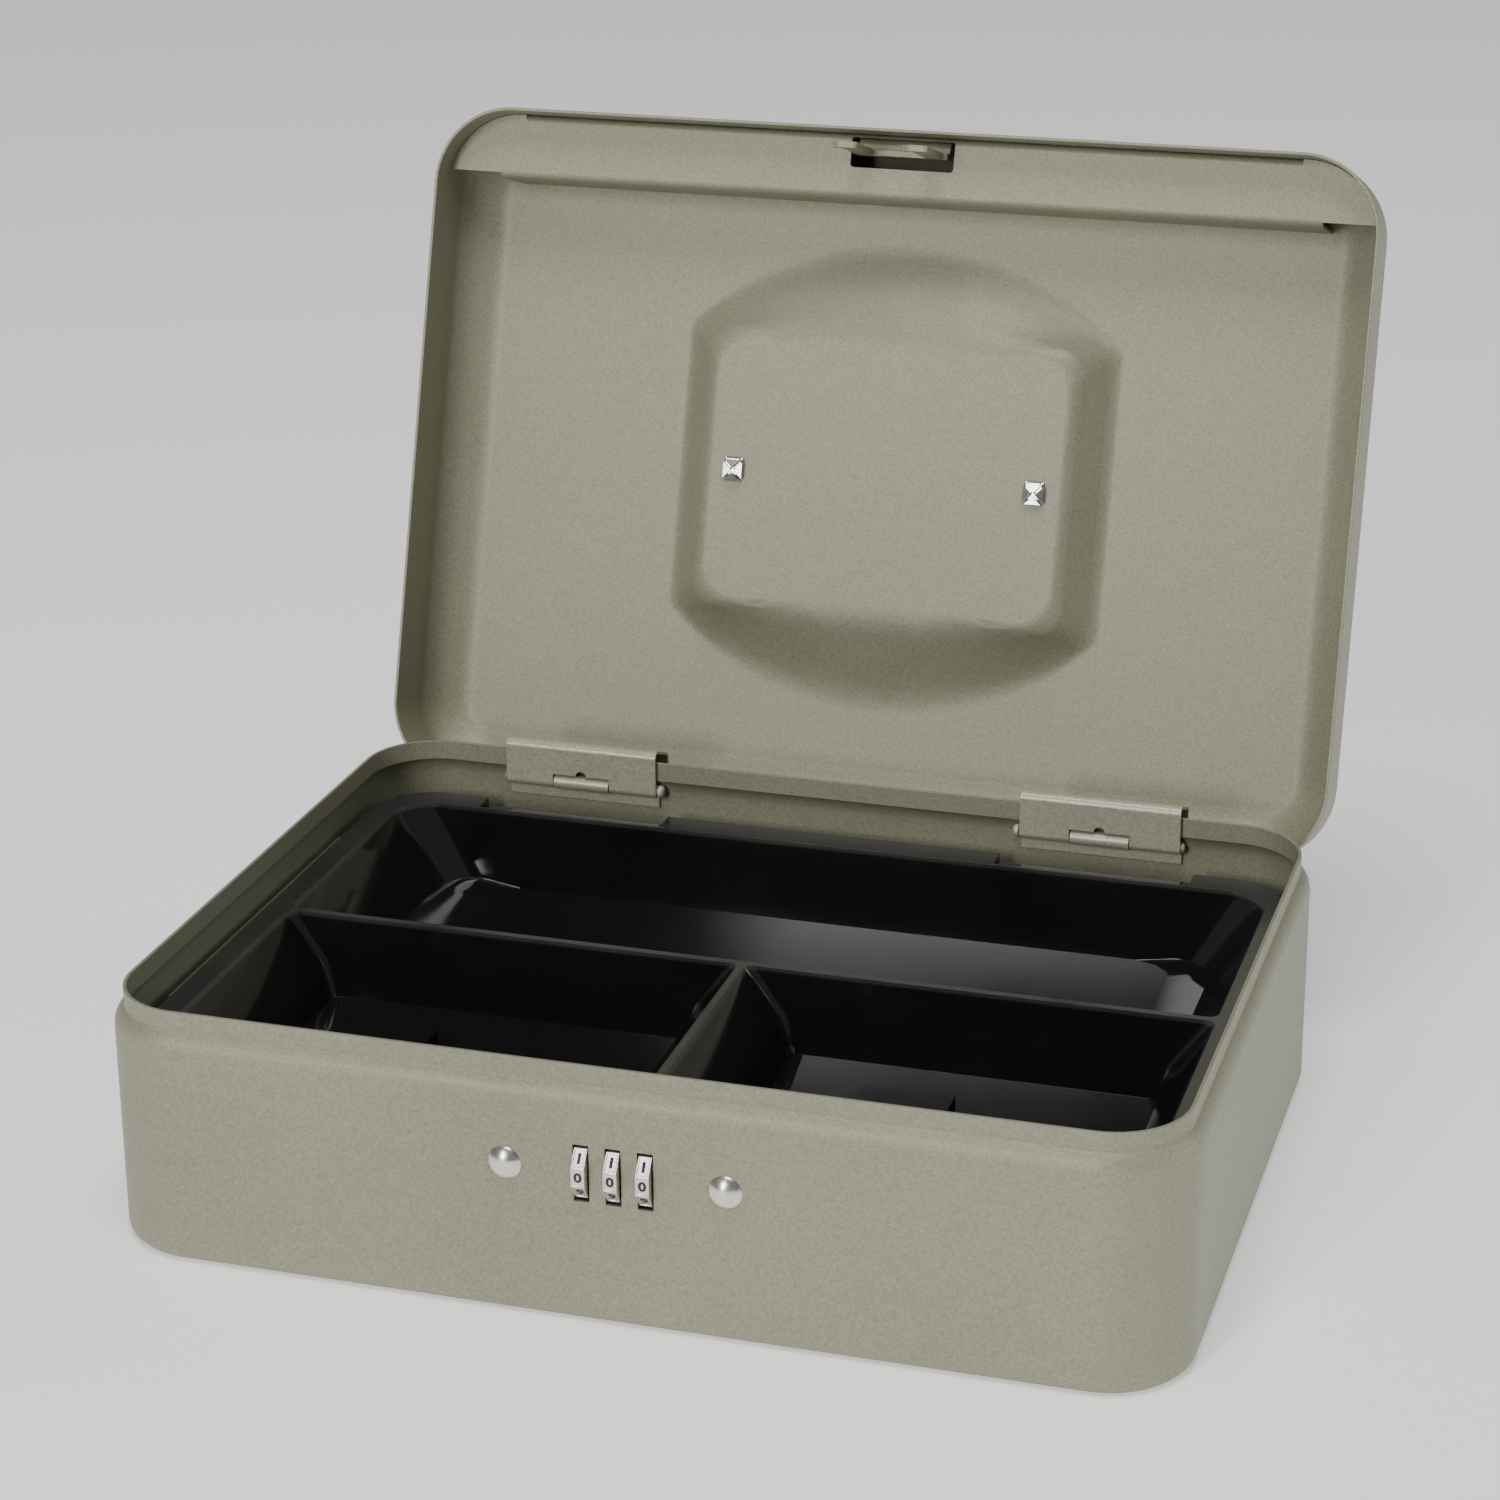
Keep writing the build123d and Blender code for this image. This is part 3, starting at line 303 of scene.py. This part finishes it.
def figure_shape(figure):
    """One figure as a flat mesh, upright and centred, in its real size."""
    lettering = bpy.data.curves.new("figure", "FONT")
    lettering.body = str(figure)
    lettering.offset = figure_stroke
    stencil = bpy.data.objects.new("figure", lettering)
    bpy.context.scene.collection.objects.link(stencil)
    bpy.context.view_layer.update()
    ready = stencil.evaluated_get(bpy.context.evaluated_depsgraph_get())
    flat = bpy.data.meshes.new_from_object(ready)
    shape = bmesh.new()
    shape.from_mesh(flat)
    bpy.data.objects.remove(stencil)
    across = [v.co.x for v in shape.verts]
    up = [v.co.y for v in shape.verts]
    middle = Vector(((min(across) + max(across)) / 2, (min(up) + max(up)) / 2, 0))
    tall = figure_height / (max(up) - min(up))
    wide = min(figure_spread * tall, figure_width / (max(across) - min(across)))
    bmesh.ops.translate(shape, verts=shape.verts, vec=-middle)
    bmesh.ops.scale(shape, verts=shape.verts, vec=(wide, tall, 1))
    bmesh.ops.remove_doubles(shape, verts=shape.verts, dist=stitch_distance)
    rise = bmesh.ops.extrude_face_region(shape, geom=shape.faces[:])
    lifted = [part for part in rise["geom"] if isinstance(part, bmesh.types.BMVert)]
    bmesh.ops.translate(shape, verts=lifted, vec=(0, 0, paint_thickness))
    bmesh.ops.recalc_face_normals(shape, faces=shape.faces)
    shape.verts.index_update()
    shape.faces.sort(key=face_order)
    shape.to_mesh(flat)
    shape.free()
    return flat


figures = [figure_shape(figure) for figure in range(wheel_sides)]

for side in ("left", "middle", "right"):
    node = f"number_wheel_{side}"
    wheel = dressed(node, f"number_wheel_{side}_plated", wheel_nickel, edge=0.00008)
    settle(wheel, f"dial_{side}", "nickel", node)
    low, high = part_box(node)
    middle = (low + high) / 2
    flat_distance = (high.y - low.y) / 2 - panel_sink
    filled = bmesh.new()
    for figure, flat in enumerate(figures):
        before = len(filled.verts)
        filled.from_mesh(flat)
        filled.verts.ensure_lookup_table()
        turn = pi - 2 * pi * figure / wheel_sides
        outward = Vector((0, cos(turn), sin(turn)))
        upward = Vector((0, sin(turn), -cos(turn)))
        stand = Matrix((Vector((1, 0, 0)), upward, outward)).transposed().to_4x4()
        stand.translation = middle + outward * flat_distance
        bmesh.ops.transform(filled, matrix=stand, verts=filled.verts[before:])
    paint = bpy.data.meshes.new(f"figures_{side}")
    filled.to_mesh(paint)
    filled.free()
    paint.materials.append(figure_black)
    figure_set = bpy.data.objects.new(f"figures_{side}", paint)
    bpy.context.scene.collection.objects.link(figure_set)
    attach(figure_set, f"dial_{side}")

# -------------------------------------------------------------------- rivets
# Two domed rivets hold the lock through the front wall. They are turned,
# nickel plated and set from behind, so the domes keep faint turning marks.

rivet_nickel = brushed(
    "rivet_nickel", dark=(0.56, 0.55, 0.51), light=(0.80, 0.78, 0.73),
    line_size=0.0009, stretch=(1.0, 1.0, 1.0), roughness=(0.20, 0.34), depth=0.00002,
)
rivets = dressed("lock_rivets", "lock_rivet_domes", rivet_nickel, edge=0.00015)
settle(rivets, "base", "nickel", "lock_rivets")

# -------------------------------------------------------------------- hinges
# Each hinge is two folded steel leaves and a headed pin. The lid's leaf bends
# over the rim like a gooseneck. They are coated with the box, but the paint
# lies thicker on them and has a hammered look. Its colour is set lighter than
# the box's paint: painted light, for the light the leaves catch.

# The hinges wear the box's paint; the lighter colours below are painted light.
lightened_hammered_paint = painted(
    "lightened_hammered_paint", dark=(0.340, 0.332, 0.246), light=(0.500, 0.490, 0.372),
    grain_size=0.0008, peel_size=0.0022, depth=0.00020, roughness=(0.30, 0.42),
)
for side in ("right", "left"):
    base_leaf = dressed(
        f"hinge_base_leaf_{side}", f"rear_leaf_{side}", lightened_hammered_paint, edge=0.00012
    )
    settle(base_leaf, "base", "hinge_paint", f"hinge_base_leaf_{side}")
    lid_leaf = dressed(
        f"hinge_lid_leaf_{side}", f"gooseneck_leaf_{side}", lightened_hammered_paint, edge=0.00018
    )
    settle(lid_leaf, "lid", "hinge_paint", f"hinge_lid_leaf_{side}")
    pin = dressed(
        f"hinge_pin_{side}", f"headed_pin_{side}", lightened_hammered_paint, edge=0.00028
    )
    settle(pin, "base", "hinge_paint", f"hinge_pin_{side}")

# ----------------------------------------------------------------------- lid
# The lid is drawn from the same sheet: a straight wall, a broad bevel and a
# flat panel with a recess pressed in for the handle. A folded strip stiffens
# its front and carries the striker, whose two hooks enter the lock.

lid = dressed("lid_shell", "lid", pewter_paint, edge=0.00025)
settle(lid, "lid", "grey_paint", "lid_shell")

lid_opening = 107.9
shut = Matrix.Rotation(radians(lid_opening), 4, "X")
web_end = 0.109
plate_sheet = 0.0008
edge_reach = 0.0002
end_relief = 0.0012


def ease_free_ends(shape):
    """Draw the plate's free ends back a little, where the folded web stops."""
    bmesh.ops.transform(shape, matrix=shut, verts=shape.verts)
    back = max(vert.co.y for vert in shape.verts)
    flat = min(vert.co.z for vert in shape.verts)
    for vert in shape.verts:
        in_plate = vert.co.z < flat + 1.5 * plate_sheet
        on_free_edge = vert.co.y > back - edge_reach
        if in_plate and on_free_edge and abs(vert.co.x) > web_end:
            vert.co.y -= end_relief
    bmesh.ops.transform(shape, matrix=shut.inverted(), verts=shape.verts)


strip = dressed(
    "lid_front_strip", "front_stiffener", pewter_paint, edge=0.0002,
    reshape=ease_free_ends,
)
settle(strip, "lid", "grey_paint", "lid_front_strip")
striker = dressed("lid_striker", "hooked_striker", pewter_paint, edge=0.0003)
settle(striker, "lid", "grey_paint", "lid_striker")

# -------------------------------------------------------------------- handle
# The handle is one bent steel wire, polished and plated. Two zinc-plated clips
# hold its ends; the clips' legs go through the recess and are folded over
# inside the lid in four small tabs.

handle_plate = brushed(
    "polished_handle_plate", dark=(0.60, 0.60, 0.59), light=(0.74, 0.74, 0.73),
    line_size=0.0012, stretch=(0.2, 1.0, 1.0), roughness=(0.10, 0.22), depth=0.00001,
)
clip_zinc = brushed(
    "bright_clip_zinc", dark=(0.42, 0.42, 0.40), light=(0.72, 0.72, 0.69),
    line_size=0.0011, stretch=(1.0, 1.0, 1.0), roughness=(0.20, 0.38), depth=0.00012,
)
handle = dressed("handle_bail", "wire_handle", handle_plate, edge=0.0003)
settle(handle, "handle", "handle_steel", "handle_bail")
for side in ("right", "left"):
    clip = dressed(f"handle_clip_{side}", f"handle_eye_{side}", clip_zinc, edge=0.00012)
    settle(clip, "lid", "zinc", f"handle_clip_{side}")

tab_side = 0.0053
tab_slit = 0.00035
tab_sheet = 0.0005
tab_tilts = (18, -6, 24, 3)
tab_ease = 0.00009
tab_behind_clip = 0.0003
tab_above_clip = 0.0046
panel_lean = Matrix.Rotation(radians(90 - lid_opening), 3, "X")
inward = panel_lean @ Vector((0, -1, 0))
for side, first_quarter in (("right", 1), ("left", 0)):
    low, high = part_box(f"handle_clip_{side}")
    tab_centre = Vector(
        ((low.x + high.x) / 2, low.y + tab_behind_clip, low.z + tab_above_clip)
    )
    tabs = bmesh.new()
    for quarter, tilt in enumerate(tab_tilts, start=first_quarter):
        around = Matrix.Rotation(quarter * pi / 2, 4, "Z")
        corners = [
            tabs.verts.new(point) for point in (
                (0, tab_slit, 0),
                (tab_side / 2 - tab_slit, tab_side / 2, 0),
                (tab_slit - tab_side / 2, tab_side / 2, 0),
            )
        ]
        leaf = tabs.faces.new(corners)
        solid = bmesh.ops.extrude_face_region(tabs, geom=[leaf])
        top = [part for part in solid["geom"] if isinstance(part, bmesh.types.BMVert)]
        bmesh.ops.translate(tabs, verts=top, vec=(0, 0, tab_sheet))
        hinge = Matrix.Translation((0, tab_side / 2, 0))
        fold = hinge @ Matrix.Rotation(radians(-tilt), 4, "X") @ hinge.inverted()
        bmesh.ops.transform(tabs, matrix=around @ fold, verts=corners + top)
    bmesh.ops.recalc_face_normals(tabs, faces=tabs.faces)
    bmesh.ops.bevel(
        tabs, geom=tabs.edges[:], offset=tab_ease, segments=2, profile=0.5,
        affect="EDGES", clamp_overlap=True, material=-1,
    )
    facing = inward.to_track_quat("Z", "Y").to_matrix().to_4x4()
    facing.translation = tab_centre
    bmesh.ops.transform(tabs, matrix=facing, verts=tabs.verts)
    tab_mesh = bpy.data.meshes.new(f"folded_tabs_{side}")
    tabs.to_mesh(tab_mesh)
    tabs.free()
    tab_mesh.materials.append(clip_zinc)
    tab_set = bpy.data.objects.new(f"folded_tabs_{side}", tab_mesh)
    bpy.context.scene.collection.objects.link(tab_set)
    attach(tab_set, "lid")

# ----------------------------------------------------------------- coin tray
# The tray is moulded in glossy black styrene: one long pocket behind and two
# in front, under a flange that rests on the strips. Handling has left faint
# scratches all over it. Its upper edges are made duller, and a patchy grey is
# mixed into their colour there as a painted reflection.

tray_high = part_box("coin_tray")[1]
# The upper band's grey is a painted reflection; the band is also made rougher.
band_from_height = tray_high.z - 0.0013
band_to_height = tray_high.z - 0.0007
painted_reflection_grey = (0.050, 0.052, 0.051, 1)
band_dullness = 0.22
scratches_per_metre = 260
scratch_stretch = (1.0, 9.0, 4.0)
tray_patches_per_metre = 28
tray_black, tree, shader = finish_of("moulded_black", IOR=1.59)
place = tree.nodes.new("ShaderNodeTexCoord")
stretch = tree.nodes.new("ShaderNodeMapping")
stretch.inputs["Scale"].default_value = scratch_stretch
scratches = tree.nodes.new("ShaderNodeTexNoise")
scratches.inputs["Scale"].default_value = scratches_per_metre
scratches.inputs["Detail"].default_value = 6.0
tray_patches = tree.nodes.new("ShaderNodeTexNoise")
tray_patches.inputs["Scale"].default_value = tray_patches_per_metre
tray_patches.inputs["Detail"].default_value = 5.0
tree.links.new(place.outputs["Object"], stretch.inputs["Vector"])
tree.links.new(stretch.outputs["Vector"], scratches.inputs["Vector"])
tree.links.new(place.outputs["Object"], tray_patches.inputs["Vector"])
tray_ramp = spread(
    tree, tray_patches.outputs["Fac"], low=(0.0040, 0.0040, 0.0044), high=(0.0110, 0.0110, 0.0112)
)
level = tree.nodes.new("ShaderNodeSeparateXYZ")
tree.links.new(place.outputs["Object"], level.inputs["Vector"])
upper_band_mask = tree.nodes.new("ShaderNodeMapRange")
upper_band_mask.inputs["From Min"].default_value = band_from_height
upper_band_mask.inputs["From Max"].default_value = band_to_height
tree.links.new(level.outputs["Z"], upper_band_mask.inputs["Value"])
patchy = tree.nodes.new("ShaderNodeMath")
patchy.operation = "MULTIPLY"
tree.links.new(upper_band_mask.outputs["Result"], patchy.inputs[0])
tree.links.new(span(tree, tray_patches.outputs["Fac"], low=0.1, high=1.0), patchy.inputs[1])
# Mix the painted reflection's grey into the tray's colour in the upper band.
reflection_mix = tree.nodes.new("ShaderNodeMix")
reflection_mix.data_type = "RGBA"
reflection_mix.inputs["B"].default_value = painted_reflection_grey
tree.links.new(patchy.outputs[0], reflection_mix.inputs["Factor"])
tree.links.new(tray_ramp.outputs["Color"], reflection_mix.inputs["A"])
tree.links.new(reflection_mix.outputs["Result"], shader.inputs["Base Color"])
dull = tree.nodes.new("ShaderNodeMath")
dull.operation = "MULTIPLY_ADD"
dull.inputs[1].default_value = band_dullness
tree.links.new(patchy.outputs[0], dull.inputs[0])
tree.links.new(span(tree, tray_patches.outputs["Fac"], low=0.04, high=0.12), dull.inputs[2])
tree.links.new(dull.outputs[0], shader.inputs["Roughness"])
rough_up(tree, shader, scratches.outputs["Fac"], strength=0.10, distance=0.00002)

flange_draw = 0.0028
flange_corner = 0.104
flange_low = tray_high.z - 0.0017
pocket_side = 0.1165
pocket_ends = (-0.0725, 0.0745)


def widen_flange(shape):
    """Bring the flange's ends out to the side walls, as the photograph has them."""
    for vert in shape.verts:
        reach = abs(vert.co.x)
        outside = reach > pocket_side or not pocket_ends[0] < vert.co.y < pocket_ends[1]
        if outside and reach > flange_corner and vert.co.z > flange_low:
            share = (reach - flange_corner) / (tray_high.x - flange_corner)
            vert.co.x += flange_draw * share * (1 if vert.co.x > 0 else -1)


tray = dressed(
    "coin_tray", "moulded_tray", tray_black, edge=0.0005, steps=3, reshape=widen_flange
)
settle(tray, "tray", "black_plastic", "coin_tray")

# ---------------------------------------------------------- floor and lights
# The box stands on a plain pale floor under soft studio light: a tall lamp in
# front on the left, one overhead, a cooler one on the right and a pale sky.

floor_radius = 12.0
floor_glow = 0.38
ground = bmesh.new()
bmesh.ops.create_circle(ground, cap_ends=True, radius=floor_radius, segments=96)
floor_mesh = bpy.data.meshes.new("floor")
ground.to_mesh(floor_mesh)
ground.free()
floor = bpy.data.objects.new("floor", floor_mesh)
bpy.context.scene.collection.objects.link(floor)
pale, tree, shader = finish_of("pale_floor", Roughness=0.75)
shader.inputs["Base Color"].default_value = (0.92, 0.92, 0.91, 1)
shader.inputs["Emission Color"].default_value = (1, 1, 1, 1)
shader.inputs["Emission Strength"].default_value = floor_glow
floor_mesh.materials.append(pale)


def lamp(name, place, aim, width, height, power, colour=(1, 1, 1)):
    """Soft lamp of a width and a height at a place, turned to a point."""
    light = bpy.data.lights.new(name, "AREA")
    light.shape = "RECTANGLE"
    light.size = width
    light.size_y = height
    light.energy = power
    light.color = colour
    holder = bpy.data.objects.new(name, light)
    holder.location = place
    backward = Vector(place) - Vector(aim)
    holder.rotation_euler = backward.to_track_quat("Z", "Y").to_euler()
    bpy.context.scene.collection.objects.link(holder)


lamp(
    "front_lamp", place=(-0.52, -2.0, 0.92), aim=(0, 0, 0.08),
    width=0.40, height=1.15, power=26,
)
lamp(
    "top_lamp", place=(0.1, -0.45, 1.9), aim=(0, 0.05, 0.08),
    width=0.8, height=0.8, power=21,
)
lamp(
    "side_lamp", place=(1.7, 0.55, 0.55), aim=(0, 0, 0.04),
    width=0.8, height=0.8, power=7, colour=(0.88, 1.0, 1.0),
)

sky_strength = 0.18
surround = bpy.data.worlds.new("surround")
surround.use_nodes = True
sky = surround.node_tree.nodes["Background"]
sky.inputs["Color"].default_value = (1, 1, 1, 1)
sky.inputs["Strength"].default_value = sky_strength
bpy.context.scene.world = surround

# -------------------------------------------------------------------- camera
# The camera stands where the photograph's perspective puts it, a little above
# the box and to its right.

camera_azimuth = radians(16.29)
camera_elevation = radians(20.22)
camera_roll = radians(-0.13)
view = bpy.data.cameras.new("camera")
view.sensor_width = 36.0
view.lens = 87.5
view.shift_x = -0.0438
view.shift_y = -0.0432
view.clip_start = 0.01
view.clip_end = 60.0
camera = bpy.data.objects.new("camera", view)
camera.location = (0.2389, -0.7503, 0.4084)
backward = Vector((
    sin(camera_azimuth) * cos(camera_elevation),
    -cos(camera_azimuth) * cos(camera_elevation),
    sin(camera_elevation),
))
level = backward.to_track_quat("Z", "Y").to_matrix()
camera.rotation_euler = (level @ Matrix.Rotation(camera_roll, 3, "Z")).to_euler()
bpy.context.scene.collection.objects.link(camera)
bpy.context.scene.camera = camera
